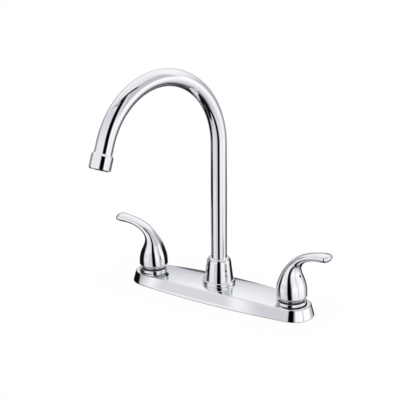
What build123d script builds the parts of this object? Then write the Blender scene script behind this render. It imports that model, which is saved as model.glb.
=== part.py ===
from build123d import *
import math
import os

# Two handle kitchen faucet with a high gooseneck spout on an 8 inch deck plate.
# Millimetres. The origin is on the sink deck, on the spout's axis: +X to the right,
# -Y to the person at the sink, +Z up. The hot side is at -X and the cold side at +X.

# ---- driving dimensions ---------------------------------------------------------

handle_spread = 203.2            # between the two valve axes, 8 inches

# deck plate: the outline is two end arcs joined by two slightly bowed sides
plate_overhang = 28.6            # from each valve axis to the plate's end
plate_end_radius = 25.75
plate_middle_width = 63.6
plate_rim_height = 14.4          # top face at the handles
plate_crown_rise = 2.4           # how much higher the rim is at mid length
plate_dome_rise = 2.1            # how much the middle of the top stands above that rim
plate_end_dome = 0.15            # the same at the handles, where the top is almost flat
plate_end_draft = 4.0            # how far the wall leans in at the round ends
plate_side_draft = 2.9           # how far it leans in at mid length
plate_wall = 2.4
plate_rim_round = 1.8
pad_ledge = 0.5                  # flat seat in the middle of the top, beyond the foot ring

# gasket under the plate
gasket_inset = 0.7               # from the foot of the plate's inner wall
gasket_width = 5.0
gasket_thickness = 1.5

# cartridges
disc_radius = 9.2
disc_side_gap = 0.2              # radial, between the discs and their housing
valve_floor = 6.0                # the seat in the valve body that the cartridge stands on
seal_thickness = 2.0
fixed_disc_thickness = 3.0
moving_disc_thickness = 2.4
moving_disc_rim = 2.4            # solid rim outside the moving disc's open quarter
disc_slot_width = 3.2
disc_slot_depth = 1.1
stem_tang_share = 0.8            # of the disc's width that the stem's tang reaches over
housing_wall = 1.2
housing_thread_height = 0.5
housing_hex_margin = 0.2         # from the housing's thread to the flats of its hexagon
housing_hex_height = 3.4
housing_neck_wall = 2.9
housing_window_width = 6.0
seat_port_radius = 2.6
seat_port_offset = 4.8

# stems
stem_radius = 4.5
stem_step = 0.5                  # how much thinner the splined end is
stem_flange_height = 2.2
stem_top_drop = 32.5             # top of the stem over the lever's bevel
spline_count = 12
spline_groove_radius = 0.45

# valve bodies
valve_thread_gap = 0.1           # radial, round the housing's thread
valve_wall = 2.3
valve_shoulder_step = 3.0        # from the barrel to the lower body, which the plate rests on
valve_barrel_lip = 0.8           # how far the barrel stands above the bonnet ring
inlet_roof = 2.0
shank_radius = 10.45             # 1/2 inch straight pipe thread, over its crests
shank_wall = 3.95
shank_length = 50.0
shank_relief = 0.2               # how much thinner the upper stretch is, which the lock nut runs on
shank_relief_length = 19.0

# clamping under the sink
deck_gap = 6.0                   # thickness of deck that the washers are drawn at
shank_washer_width = 6.55
shank_washer_thickness = 2.0
lock_nut_wall = 3.55             # from the shank to the nut's flats
lock_nut_height = 9.0
lock_nut_flange_width = 4.0      # from the flats to the flange's edge
lock_nut_flange_height = 2.0

# bonnet rings
bonnet_ring_radius = 18.5
bonnet_ring_height = 3.4
bonnet_ring_round = 1.3

# lever handles
lever_gap = 1.3                  # from the bonnet ring to the skirt's lower edge
lever_bevel_height = 4.6
lever_skirt_gap = 1.1            # radial, between the skirt and the valve's barrel
lever_skirt_lip = 1.6            # width of the skirt's lower edge
lever_cavity_height = 8.0        # above the bevel
lever_toe_in = 9.0               # degrees that each lever points forward of sideways
# each station is reach from the valve's axis, height above the bevel, lean from
# upright in degrees, half thickness and half width
lever_stations = [
    (0.0, 0.0, 0.0, 19.0, 19.0),
    (0.0, 8.5, 0.0, 18.8, 18.4),
    (0.0, 16.0, 0.0, 17.6, 16.7),
    (0.0, 22.7, 2.0, 15.2, 13.9),
    (0.6, 29.5, 10.0, 12.3, 11.4),
    (2.5, 36.0, 22.0, 9.2, 9.9),
    (5.7, 42.1, 35.0, 6.8, 9.3),
    (10.2, 47.2, 48.0, 5.6, 9.1),
    (15.8, 51.2, 59.0, 5.0, 8.9),
    (22.0, 54.2, 68.0, 4.7, 8.6),
    (35.0, 57.9, 80.0, 5.0, 8.3),
    (43.5, 59.2, 83.0, 5.3, 9.2),
    (48.0, 59.7, 84.0, 4.9, 9.4),
    (50.4, 59.9, 84.0, 3.7, 8.0),
    (51.6, 60.0, 84.0, 2.0, 5.4),
]
set_screw_radius = 2.5
set_screw_length = 6.0
set_screw_rise = 28.0            # above the bevel
set_screw_key_flats = 2.5
set_screw_key_depth = 2.5

# gooseneck spout
tube_radius = 9.9
tube_wall = 0.9
tube_straight_top = 199.0        # where the bend starts
tube_bend_radius = 88.4
tube_bend_sweep = 160.7          # degrees
tube_bend_steps = 16             # sections that each half of the bend's loft goes through
tube_tip_run = 11.2              # straight run from the bend to the aerator
spout_aim = -102.1               # degrees from +X, so 12.1 to the left of straight ahead

# spigot in the foot of the gooseneck
spigot_step = 1.0                # how much thinner the spigot is than the tube
spigot_length = 25.4             # below the hub's top
spigot_wall = 3.9
spigot_insert = 10.0             # length inside the tube
collar_step = 2.3                # from the spigot to its collar
collar_height = 4.0
retaining_groove_depth = 1.2
retaining_ring_proud = 1.1       # how far the ring stands out of the collar
retaining_ring_height = 1.8
retaining_ring_gap = 3.0
glide_washer_thickness = 0.6
glide_gap = 0.1

# spout hub
hub_wall = 4.05
hub_shoulder_step = 3.5
hub_rise = 14.2                  # how far the hub stands above the foot ring
hub_chamber_ledge = 1.95         # seat round the hub's lower chamber
hub_chamber_floor = 2.0
spigot_floor_gap = 1.0

# crossover tubes between the valves and the hub
port_boss_gap = 0.6              # from the port bosses to the plate's ceiling and the deck
port_boss_wall = 1.2
port_boss_length = 3.0           # beyond the body's shoulder
port_socket_depth = 3.0
crossover_wall = 0.8

# seals
spout_ring_section = 1.1         # radius of the rubber
spout_ring_rises = (5.0, 12.0)   # above the spigot's lower end
stem_ring_section = 0.62
stem_ring_drop = 4.5             # below the housing's top

# bell and its foot ring
foot_ring_height = 5.0
foot_ring_ledge = 2.6            # from the bell's foot to the ring's edge
foot_ring_undercut = 1.0
foot_ring_widest = 0.45          # share of its height where the ring is widest
foot_ring_groove_width = 1.2     # between the ring's round and the bell
foot_ring_groove_depth = 0.45
bell_foot_wall = 5.2
bell_wall = 2.6                  # round the retaining ring
bell_rim_width = 2.1             # from the tube to the crest
bell_cone_height = 23.6
bell_crest_height = 5.3
bell_lip_rise = 0.4              # how far the top slopes up from the crest to the tube

# aerator
aerator_length = 17.8
aerator_shoulder = 2.4
aerator_neck_wall = 0.4
aerator_bore_step = 0.5          # from the tube to the bore below it
aerator_wall = 1.6
aerator_bevel = 1.4
aerator_thread_length = 8.0      # how far the tube reaches into it
aerator_lip_width = 0.7
aerator_lip = 0.6
aerator_washer_thickness = 1.5
aerator_screen_thickness = 0.5
aerator_hole_radius = 0.9
aerator_hole_rings = ((2.6, 6), (5.4, 12))   # each ring's radius and number of holes

# clearances
running_fit = 0.05               # radial, between a shaft and its bore
press_on = 0.05                  # radial, between pieces that are screwed or brazed
plate_hole_clearance = 0.3
under_head = 0.1                 # between faces that slide on each other
cavity_roof_gap = 1.5            # from the cartridge housing to the roof of the lever's cavity
cut_margin = 1.0                 # how far a cutter passes the face that it cuts

# ---- sizes worked out from those --------------------------------------------------

handle_x = handle_spread / 2
plate_length = handle_spread + 2 * plate_overhang
plate_end_x = plate_length / 2 - plate_end_radius
plate_ceiling = plate_rim_height - plate_wall
pad_height = plate_rim_height + plate_crown_rise + plate_dome_rise

# cartridge and valve body, outwards from the discs
housing_cavity_radius = disc_radius + disc_side_gap
housing_body_radius = housing_cavity_radius + housing_wall
housing_thread_radius = housing_body_radius + housing_thread_height
housing_flats = 2 * (housing_thread_radius + housing_hex_margin)
housing_neck_radius = stem_radius + housing_neck_wall
valve_chamber_radius = housing_thread_radius + valve_thread_gap
valve_barrel_radius = valve_chamber_radius + valve_wall
valve_shoulder_radius = valve_barrel_radius + valve_shoulder_step
stem_drive_radius = stem_radius - stem_step
shank_relief_radius = shank_radius - shank_relief
inlet_radius = shank_radius - shank_wall
shank_washer_radius = shank_radius + shank_washer_width
lock_nut_flats = 2 * (shank_radius + lock_nut_wall)
lock_nut_flange_radius = lock_nut_flats / 2 + lock_nut_flange_width
lever_cavity_radius = valve_barrel_radius + lever_skirt_gap
lever_foot_radius = lever_cavity_radius + lever_skirt_lip

# valve side, upwards
seal_top = valve_floor + seal_thickness
fixed_disc_top = seal_top + fixed_disc_thickness
moving_disc_bottom = fixed_disc_top + under_head / 2
moving_disc_top = moving_disc_bottom + moving_disc_thickness
stem_flange_bottom = moving_disc_top + under_head / 2
stem_flange_top = stem_flange_bottom + stem_flange_height
housing_roof = stem_flange_top + under_head
bonnet_ring_top = plate_rim_height + bonnet_ring_height
valve_barrel_height = bonnet_ring_top + valve_barrel_lip
lever_foot = bonnet_ring_top + lever_gap
lever_bevel_top = lever_foot + lever_bevel_height
lever_cavity_top = lever_bevel_top + lever_cavity_height
housing_top = lever_cavity_top - cavity_roof_gap
stem_ring_height = housing_top - stem_ring_drop
stem_top = lever_bevel_top + stem_top_drop
set_screw_height = lever_bevel_top + set_screw_rise

# spout and hub, outwards from the tube
spigot_radius = tube_radius - spigot_step
spigot_bore_radius = spigot_radius - spigot_wall
collar_radius = spigot_radius + collar_step
retaining_ring_inner = collar_radius - retaining_groove_depth
retaining_ring_radius = collar_radius + retaining_ring_proud
hub_bore_radius = spigot_radius + running_fit
hub_barrel_radius = hub_bore_radius + hub_wall
hub_shoulder_radius = hub_barrel_radius + hub_shoulder_step
hub_chamber_radius = hub_bore_radius - hub_chamber_ledge
bell_cavity_radius = retaining_ring_radius + plate_hole_clearance
bell_foot_radius = hub_barrel_radius + bell_foot_wall
bell_shoulder_radius = bell_cavity_radius + bell_wall
bell_top_radius = tube_radius + bell_rim_width
foot_ring_radius = bell_foot_radius + foot_ring_ledge
pad_radius = foot_ring_radius + pad_ledge
aerator_neck_radius = tube_radius + aerator_neck_wall
aerator_bore_radius = tube_radius + aerator_bore_step
aerator_radius = aerator_bore_radius + aerator_wall
aerator_lip_radius = aerator_bore_radius - aerator_lip_width

# spout side, upwards
hub_shoulder_height = pad_height - 2 * plate_wall - cut_margin
foot_ring_top = pad_height + foot_ring_height
hub_top = foot_ring_top + hub_rise
spigot_bottom = hub_top - spigot_length
hub_bore_floor = spigot_bottom - spigot_floor_gap
spout_ring_heights = [spigot_bottom + rise for rise in spout_ring_rises]
collar_bottom = hub_top + glide_washer_thickness + glide_gap
collar_top = collar_bottom + collar_height
upper_washer_bottom = collar_top + glide_gap
bell_ledge = upper_washer_bottom + glide_washer_thickness
bell_shoulder_height = foot_ring_top + bell_cone_height
bell_top = bell_shoulder_height + bell_crest_height

# crossover tubes run half way up under the plate
crossover_height = plate_ceiling / 2
port_boss_radius = crossover_height - port_boss_gap
crossover_radius = port_boss_radius - port_boss_wall
valve_port_reach = valve_shoulder_radius + port_boss_length
hub_port_reach = hub_shoulder_radius + port_boss_length


# ---- small building blocks ----------------------------------------------------------

def rod(radius, low, high, x=0.0, y=0.0):
    """Upright cylinder from one height to another."""
    return Pos(x, y, low) * Cylinder(radius, high - low, align=(Align.CENTER, Align.CENTER, Align.MIN))


def sleeve(outer, inner, low, high, x=0.0):
    """Upright hollow cylinder."""
    return rod(outer, low, high, x) - rod(inner, low - cut_margin, high + cut_margin, x)


def cross_rod(radius, start_x, end_x, z):
    """Cylinder along X at a height."""
    middle = (start_x + end_x) / 2
    return Pos(middle, 0, z) * Rot(0, 90, 0) * Cylinder(radius, abs(end_x - start_x))


def hexagon(flats, low, high, x=0.0):
    """Upright hexagonal prism."""
    outline = RegularPolygon(flats / 2, 6, major_radius=False)
    return Pos(x, 0, low) * extrude(outline, high - low)


def turned(*edges):
    """Solid of revolution about Z from a closed outline in X (radius) and Z."""
    return revolve(make_face(Wire(edges)), Axis.Z)


def rubber_ring(middle_radius, section_radius, z, x=0.0):
    """O-ring."""
    return Pos(x, 0, z) * Torus(middle_radius, section_radius)


def upright(radius, z):
    """Point of a turned outline."""
    return (radius, 0, z)


def save(shape, node):
    """Write one piece."""
    export_step(shape, os.path.join("parts", node + ".step"))


def save_pair(make_piece, node):
    """Write a valve-side piece for cold (at +X) and, mirrored, for hot (at -X)."""
    piece = Pos(handle_x, 0, 0) * make_piece()
    save(piece, "cold_" + node)
    save(mirror(piece, about=Plane.YZ), "hot_" + node)


# ---- deck plate -----------------------------------------------------------------------

def bowed_outline(half_length, end_radius, half_width, z):
    """Closed wire of two end arcs and two bowed sides, all tangent, at one height."""
    end_x = half_length - end_radius
    side_radius = (end_x ** 2 + half_width ** 2 - end_radius ** 2) / (2 * (half_width - end_radius))
    side_drop = side_radius - half_width
    reach = side_radius / (side_radius - end_radius)
    tangent_x = end_x * reach
    tangent_y = side_drop * (reach - 1)
    right_end = ThreePointArc((tangent_x, -tangent_y, z), (half_length, 0, z), (tangent_x, tangent_y, z))
    back = ThreePointArc((tangent_x, tangent_y, z), (0, half_width, z), (-tangent_x, tangent_y, z))
    left_end = ThreePointArc((-tangent_x, tangent_y, z), (-half_length, 0, z), (-tangent_x, -tangent_y, z))
    front = ThreePointArc((-tangent_x, -tangent_y, z), (0, -half_width, z), (tangent_x, -tangent_y, z))
    return Wire([right_end, back, left_end, front])


def plate_outline(inset, height):
    """The plate's outline at a height, inset all round and drawn in by the walls' draft."""
    rise = height / plate_rim_height
    return bowed_outline(
        plate_length / 2 - inset - plate_end_draft * rise,
        plate_end_radius - inset - plate_end_draft * rise,
        plate_middle_width / 2 - inset - plate_side_draft * rise,
        height,
    )


def drafted_block(inset, height):
    """Plate-shaped block whose walls lean in, inset all round and open above the rim."""
    return Solid.make_loft([plate_outline(inset, 0), plate_outline(inset, height)], ruled=True)


def rim_height_at(x):
    """Height of the rim along the plate."""
    share = min(abs(x) / plate_end_x, 1.0)
    return plate_rim_height + plate_crown_rise * (1 - share ** 2)


def dome_rise_at(x):
    """Height of the middle of the top over the rim along the plate."""
    share = min(abs(x) / plate_end_x, 1.0)
    return plate_end_dome + (plate_dome_rise - plate_end_dome) * (1 - share ** 2)


def crowned_block(drop):
    """Block with the plate's crowned top, lowered by drop."""
    steps_each_way = 4
    beyond_ends = 1.3
    side = plate_middle_width
    rim_y = plate_middle_width / 2 - plate_side_draft
    inner_shares = [step / steps_each_way for step in range(-steps_each_way, steps_each_way + 1)]
    sections = []
    for share in [-beyond_ends] + inner_shares + [beyond_ends]:
        x = share * plate_end_x
        rise = dome_rise_at(x)
        middle_z = rim_height_at(x) + rise - drop
        side_z = middle_z - rise * (side / rim_y) ** 2
        top = ThreePointArc((x, -side, side_z), (x, 0, middle_z), (x, side, side_z))
        rest = Polyline((x, side, side_z), (x, side, -side), (x, -side, -side), (x, -side, side_z))
        sections.append(Wire([top] + rest.edges()))
    return Solid.make_loft(sections)


def deck_plate():
    tall = pad_height + cut_margin
    outside = drafted_block(0, tall) & crowned_block(0)
    rim = outside.edges().filter_by(lambda edge: edge.center().Z > plate_rim_height / 2)
    outside = fillet(rim, plate_rim_round)
    outside += rod(pad_radius, plate_ceiling, pad_height)
    inside = drafted_block(plate_wall, tall) & crowned_block(plate_wall)
    plate = outside - inside
    plate += sleeve(hub_shoulder_radius, hub_barrel_radius + plate_hole_clearance,
                    hub_shoulder_height, pad_height - plate_wall / 2)
    plate -= rod(hub_barrel_radius + plate_hole_clearance, -cut_margin, pad_height + cut_margin)
    for x in (-handle_x, handle_x):
        top = rod(bonnet_ring_radius, plate_rim_height, pad_height + cut_margin, x)
        seat = rod(valve_shoulder_radius + plate_wall, 0, plate_ceiling, x)
        hole = rod(valve_barrel_radius + plate_hole_clearance, -cut_margin, pad_height, x)
        plate = plate - top - seat - hole
    return plate


def deck_gasket():
    outer_inset = plate_wall + gasket_inset
    inner_inset = outer_inset + gasket_width
    outline = Face(plate_outline(outer_inset, 0), [plate_outline(inner_inset, 0)])
    gasket = extrude(outline, gasket_thickness, dir=(0, 0, 1))
    for x in (-handle_x, handle_x):
        gasket -= rod(valve_shoulder_radius + plate_hole_clearance, -cut_margin, gasket_thickness + cut_margin, x)
    return gasket


# ---- water ways --------------------------------------------------------------------------

def port_boss(side, reach):
    """Socket for a crossover tube, pointing along +X or -X from a body's axis."""
    return cross_rod(port_boss_radius, 0, side * reach, crossover_height)


def port_cut(side, start, reach):
    """Water way and tube socket inside a port boss."""
    end = side * (reach + cut_margin)
    socket_start = side * (reach - port_socket_depth)
    water_way = cross_rod(crossover_radius - crossover_wall, side * start, end, crossover_height)
    socket = cross_rod(crossover_radius + press_on, socket_start, end, crossover_height)
    return water_way + socket


def spout_hub():
    hub = rod(hub_shoulder_radius, 0, hub_shoulder_height)
    hub += rod(hub_barrel_radius, 0, hub_top)
    for side in (-1, 1):
        hub += port_boss(side, hub_port_reach)
    hub -= rod(hub_bore_radius, hub_bore_floor, hub_top + cut_margin)
    hub -= rod(hub_chamber_radius, hub_chamber_floor, hub_bore_floor + cut_margin)
    for side in (-1, 1):
        hub -= port_cut(side, 0, hub_port_reach)
    return hub


def valve_body():
    body = rod(valve_shoulder_radius, 0, plate_ceiling)
    body += rod(valve_barrel_radius, 0, valve_barrel_height)
    body += rod(shank_relief_radius, -shank_relief_length, 0)
    body += rod(shank_radius, -shank_length, -shank_relief_length)
    body += port_boss(-1, valve_port_reach)
    body -= rod(valve_chamber_radius, valve_floor, valve_barrel_height + cut_margin)
    body -= rod(inlet_radius, -shank_length - cut_margin, inlet_roof)
    body -= rod(seat_port_radius, 0, valve_floor + cut_margin, 0, seat_port_offset)
    body -= port_cut(-1, housing_body_radius, valve_port_reach)
    return body


def crossover_tube(side):
    start = side * (hub_port_reach - port_socket_depth + press_on)
    end = side * (handle_x - valve_port_reach + port_socket_depth - press_on)
    tube = cross_rod(crossover_radius, start, end, crossover_height)
    return tube - cross_rod(crossover_radius - crossover_wall, 0, side * handle_x, crossover_height)


def shank_washer():
    top = -deck_gap
    return sleeve(shank_washer_radius, shank_radius + plate_hole_clearance, top - shank_washer_thickness, top)


def lock_nut():
    top = -deck_gap - shank_washer_thickness
    nut = hexagon(lock_nut_flats, top - lock_nut_height, top)
    nut += rod(lock_nut_flange_radius, top - lock_nut_flange_height, top)
    return nut - rod(shank_relief_radius + press_on, top - lock_nut_height - cut_margin, top + cut_margin)


def bonnet_ring():
    ring = rod(bonnet_ring_radius, plate_rim_height, bonnet_ring_top)
    ring = fillet(ring.edges().group_by(Axis.Z)[-1], bonnet_ring_round)
    bore = rod(valve_barrel_radius + press_on, 0, bonnet_ring_top + cut_margin)
    return ring - bore


# ---- cartridges ----------------------------------------------------------------------------

def seat_seal():
    seal = rod(disc_radius, valve_floor, seal_top)
    return seal - rod(seat_port_radius, 0, seal_top + cut_margin, 0, seat_port_offset)


def fixed_disc():
    disc = rod(disc_radius, seal_top, fixed_disc_top)
    return disc - rod(seat_port_radius, 0, fixed_disc_top + cut_margin, 0, seat_port_offset)


def moving_disc():
    disc = rod(disc_radius, moving_disc_bottom, moving_disc_top)
    deep = moving_disc_thickness + cut_margin
    quarter = Pos(disc_radius / 2, -disc_radius / 2, moving_disc_top) * Box(disc_radius, disc_radius, 2 * deep)
    window = sleeve(disc_radius - moving_disc_rim, seat_port_radius, moving_disc_top - deep, moving_disc_top + deep)
    slot = Box(disc_slot_width, 2 * disc_radius, 2 * disc_slot_depth)
    return disc - (quarter & window) - Pos(0, 0, moving_disc_top) * slot


def cartridge_housing():
    hex_top = valve_barrel_height + housing_hex_height
    housing = rod(housing_body_radius, valve_floor, housing_roof)
    housing += rod(housing_thread_radius, moving_disc_top, valve_barrel_height)
    housing += hexagon(housing_flats, valve_barrel_height, hex_top)
    housing += rod(housing_neck_radius, valve_barrel_height, housing_top)
    housing -= rod(housing_cavity_radius, valve_floor - cut_margin, housing_roof)
    housing -= rod(stem_radius + running_fit, 0, housing_top + cut_margin)
    window_height = (moving_disc_top - seal_top) / 2
    window = Box(2 * housing_thread_radius + cut_margin, housing_window_width, window_height)
    return housing - Pos(0, 0, (seal_top + moving_disc_top) / 2) * window


def valve_stem():
    tang_width = disc_slot_width - 2 * under_head
    tang_length = stem_tang_share * 2 * disc_radius
    tang = Box(tang_width, tang_length, disc_slot_depth, align=(Align.CENTER, Align.CENTER, Align.MAX))
    stem = rod(disc_radius, stem_flange_bottom, stem_flange_top)
    stem += Pos(0, 0, stem_flange_bottom + under_head) * tang
    stem += rod(stem_radius, stem_flange_bottom, housing_top + cut_margin)
    stem += rod(stem_drive_radius, housing_top, stem_top)
    groove_floor = stem_radius - 2 * stem_ring_section
    groove_low = stem_ring_height - stem_ring_section - under_head
    groove_high = stem_ring_height + stem_ring_section + under_head
    stem -= sleeve(stem_radius + cut_margin, groove_floor, groove_low, groove_high)
    for tooth in range(spline_count):
        angle = math.radians(360 * tooth / spline_count)
        x = stem_drive_radius * math.cos(angle)
        y = stem_drive_radius * math.sin(angle)
        stem -= rod(spline_groove_radius, housing_top + 2 * cut_margin, stem_top + cut_margin, x, y)
    return stem


def stem_o_ring():
    return rubber_ring(stem_radius - stem_ring_section, stem_ring_section, stem_ring_height)


# ---- lever handles ---------------------------------------------------------------------------

def toed_in(shape):
    """Turn a piece that points along +X to where the cold lever points."""
    return Rot(0, 0, -lever_toe_in) * shape


def lever_section(reach, rise, lean, half_thickness, half_width):
    """One elliptical slice of the lever, square to its middle line."""
    turn = math.radians(lean)
    along = (math.sin(turn), 0, math.cos(turn))
    across = (math.cos(turn), 0, -math.sin(turn))
    plane = Plane(origin=(reach, 0, lever_bevel_top + rise), x_dir=across, z_dir=along)
    return plane * Ellipse(half_thickness, half_width)


def lever():
    sections = [lever_section(*station) for station in lever_stations]
    handle = loft(sections)
    top_radius = lever_stations[0][3]
    bevel = Cone(lever_foot_radius, top_radius, lever_bevel_height, align=(Align.CENTER, Align.CENTER, Align.MIN))
    handle += Pos(0, 0, lever_foot) * bevel
    handle -= rod(lever_cavity_radius, 0, lever_cavity_top)
    handle -= rod(stem_drive_radius + press_on, 0, stem_top + cut_margin)
    handle -= cross_rod(set_screw_radius + press_on, 0, 2 * lever_cavity_radius, set_screw_height)
    return toed_in(handle)


def set_screw():
    start = stem_drive_radius + press_on
    end = start + set_screw_length
    screw = cross_rod(set_screw_radius, start, end, set_screw_height)
    key = extrude(RegularPolygon(set_screw_key_flats / 2, 6, major_radius=False), 2 * set_screw_key_depth)
    key = Pos(end - set_screw_key_depth, 0, set_screw_height) * Rot(0, 90, 0) * key
    return toed_in(screw - key)


# ---- gooseneck spout ---------------------------------------------------------------------------

aim = math.radians(spout_aim)
aim_x = math.cos(aim)
aim_y = math.sin(aim)
sweep_end = math.radians(tube_bend_sweep)


def bend_plane(turn):
    """Plane square to the spout's centre line, that far round the bend."""
    reach = tube_bend_radius * (1 - math.cos(turn))
    height = tube_straight_top + tube_bend_radius * math.sin(turn)
    along = (aim_x * math.sin(turn), aim_y * math.sin(turn), math.cos(turn))
    return Plane(origin=(aim_x * reach, aim_y * reach, height), x_dir=(-aim_y, aim_x, 0), z_dir=along)


def tip_rod(radius, start, end):
    """Cylinder along the spout's straight tip, measured from the end of the bend."""
    plane = bend_plane(sweep_end)
    return plane.location * rod(radius, start, end)


def gooseneck(radius):
    """Solid bar along the spout's centre line."""
    foot = rod(radius, collar_top, tube_straight_top)
    turns = [sweep_end * step / tube_bend_steps for step in range(tube_bend_steps + 1)]
    bend = loft([bend_plane(turn) * Circle(radius) for turn in turns])
    tip = tip_rod(radius, 0, tube_tip_run + aerator_thread_length)
    return foot + bend + tip


def spout_tube():
    return gooseneck(tube_radius) - gooseneck(tube_radius - tube_wall)


def spout_spigot():
    insert_radius = tube_radius - tube_wall - press_on
    spigot = rod(spigot_radius, spigot_bottom, collar_bottom)
    spigot += rod(collar_radius, collar_bottom, collar_top)
    spigot += rod(insert_radius, collar_bottom, collar_top + spigot_insert)
    spigot -= rod(spigot_bore_radius, 0, collar_top + spigot_insert + cut_margin)
    middle = (collar_bottom + collar_top) / 2
    half_groove = retaining_ring_height / 2 + under_head
    spigot -= sleeve(collar_radius + cut_margin, retaining_ring_inner - under_head,
                     middle - half_groove, middle + half_groove)
    groove_floor = spigot_radius - 2 * spout_ring_section
    half_groove = spout_ring_section + under_head
    for z in spout_ring_heights:
        spigot -= sleeve(spigot_radius + cut_margin, groove_floor, z - half_groove, z + half_groove)
    return spigot


def spout_o_rings():
    middle_radius = spigot_radius - spout_ring_section
    rings = [rubber_ring(middle_radius, spout_ring_section, z) for z in spout_ring_heights]
    return Compound(children=rings)


def spout_retaining_ring():
    middle = (collar_bottom + collar_top) / 2
    half = retaining_ring_height / 2
    ring = sleeve(retaining_ring_radius, retaining_ring_inner, middle - half, middle + half)
    gap = Pos(0, retaining_ring_radius, middle) * Box(retaining_ring_gap, retaining_ring_radius, retaining_ring_height)
    return ring - gap


def lower_glide_washer():
    inner = spigot_radius + plate_hole_clearance
    return sleeve(retaining_ring_radius, inner, hub_top, hub_top + glide_washer_thickness)


def upper_glide_washer():
    inner = tube_radius + plate_hole_clearance
    return sleeve(retaining_ring_radius, inner, upper_washer_bottom, bell_ledge)


# ---- bell and foot ring ---------------------------------------------------------------------------

def spout_flange_ring():
    inner = hub_barrel_radius + press_on
    lip_foot = upright(foot_ring_radius - foot_ring_undercut, pad_height)
    lip_edge = upright(foot_ring_radius, pad_height + foot_ring_widest * foot_ring_height)
    lip_top = upright(bell_foot_radius + foot_ring_groove_width, foot_ring_top - foot_ring_groove_depth)
    return turned(
        Line(upright(inner, pad_height), lip_foot),
        TangentArc(lip_foot, lip_edge, tangent=(1, 0, 0.6)),
        TangentArc(lip_edge, lip_top, tangent=(-0.15, 0, 1)),
        Line(lip_top, upright(bell_foot_radius, foot_ring_top)),
        Line(upright(bell_foot_radius, foot_ring_top), upright(inner, foot_ring_top)),
        Line(upright(inner, foot_ring_top), upright(inner, pad_height)),
    )


def bell_nut():
    foot = upright(bell_foot_radius, foot_ring_top)
    shoulder = upright(bell_shoulder_radius, bell_shoulder_height)
    crest = upright(bell_top_radius, bell_top)
    bore = tube_radius + running_fit
    lip = upright(bore, bell_top + bell_lip_rise)
    shell = turned(
        Line(upright(bore, foot_ring_top), foot),
        Line(foot, shoulder),
        TangentArc(shoulder, crest, tangent=(-0.05, 0, 1)),
        Line(crest, lip),
        Line(lip, upright(bore, foot_ring_top)),
    )
    shell -= rod(hub_barrel_radius + press_on, foot_ring_top - cut_margin, hub_top)
    return shell - rod(bell_cavity_radius, hub_top - cut_margin, bell_ledge)


# ---- aerator --------------------------------------------------------------------------------------

def at_tip(shape):
    """Place a piece that is drawn about Z, with the aerator's upper end at zero, on the spout's tip."""
    return bend_plane(sweep_end).location * Pos(0, 0, tube_tip_run) * shape


def aerator_housing():
    step = aerator_thread_length
    barrel_end = aerator_length - aerator_bevel
    outline = Polyline(
        upright(tube_radius + press_on, 0),
        upright(aerator_neck_radius, 0),
        upright(aerator_radius, aerator_shoulder),
        upright(aerator_radius, barrel_end),
        upright(aerator_radius - aerator_bevel, aerator_length),
        upright(aerator_lip_radius, aerator_length),
        upright(aerator_lip_radius, aerator_length - aerator_lip),
        upright(aerator_bore_radius, aerator_length - aerator_lip),
        upright(aerator_bore_radius, step),
        upright(tube_radius + press_on, step),
        close=True,
    )
    return at_tip(turned(*outline.edges()))


def aerator_washer():
    start = aerator_thread_length
    outer = aerator_bore_radius - press_on
    return at_tip(sleeve(outer, tube_radius - tube_wall, start, start + aerator_washer_thickness))


def aerator_insert():
    start = aerator_thread_length + aerator_washer_thickness
    end = aerator_length - aerator_lip - aerator_screen_thickness
    insert = rod(aerator_bore_radius - press_on, start, end)
    for ring_radius, count in aerator_hole_rings:
        for hole in range(count):
            angle = 2 * math.pi * hole / count
            x = ring_radius * math.cos(angle)
            y = ring_radius * math.sin(angle)
            insert -= rod(aerator_hole_radius, start - cut_margin, end + cut_margin, x, y)
    return at_tip(insert)


def aerator_screen():
    end = aerator_length - aerator_lip
    return at_tip(rod(aerator_bore_radius - press_on, end - aerator_screen_thickness, end))


# ---- write the pieces -------------------------------------------------------------------------------

os.makedirs("parts", exist_ok=True)

save(deck_plate(), "deck_plate")
save(deck_gasket(), "deck_gasket")
save(spout_hub(), "spout_hub")
save(crossover_tube(-1), "hot_crossover_tube")
save(crossover_tube(1), "cold_crossover_tube")
save_pair(valve_body, "valve_body")
save_pair(shank_washer, "shank_washer")
save_pair(lock_nut, "lock_nut")
save_pair(bonnet_ring, "bonnet_ring")
save_pair(seat_seal, "seat_seal")
save_pair(fixed_disc, "fixed_disc")
save_pair(cartridge_housing, "cartridge_housing")
save(lower_glide_washer(), "lower_glide_washer")
save(upper_glide_washer(), "upper_glide_washer")
save(spout_flange_ring(), "spout_flange_ring")
save(bell_nut(), "bell_nut")

save_pair(moving_disc, "moving_disc")
save_pair(valve_stem, "stem")
save_pair(stem_o_ring, "stem_o_ring")
save_pair(lever, "lever")
save_pair(set_screw, "set_screw")

save(spout_tube(), "spout_tube")
save(spout_spigot(), "spout_spigot")
save(spout_o_rings(), "spout_o_rings")
save(spout_retaining_ring(), "spout_retaining_ring")
save(aerator_housing(), "aerator_housing")
save(aerator_washer(), "aerator_washer")
save(aerator_insert(), "aerator_insert")
save(aerator_screen(), "aerator_screen")
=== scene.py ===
"""Two handle kitchen faucet: visible pieces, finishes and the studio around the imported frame."""

from math import atan2, cos, pi, radians, sin, tan

import bmesh
import bpy
import numpy as np
from bpy.props import FloatProperty, FloatVectorProperty, PointerProperty, StringProperty
from bpy.types import Operator, Panel, PropertyGroup
from mathutils import Matrix, Vector


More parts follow.
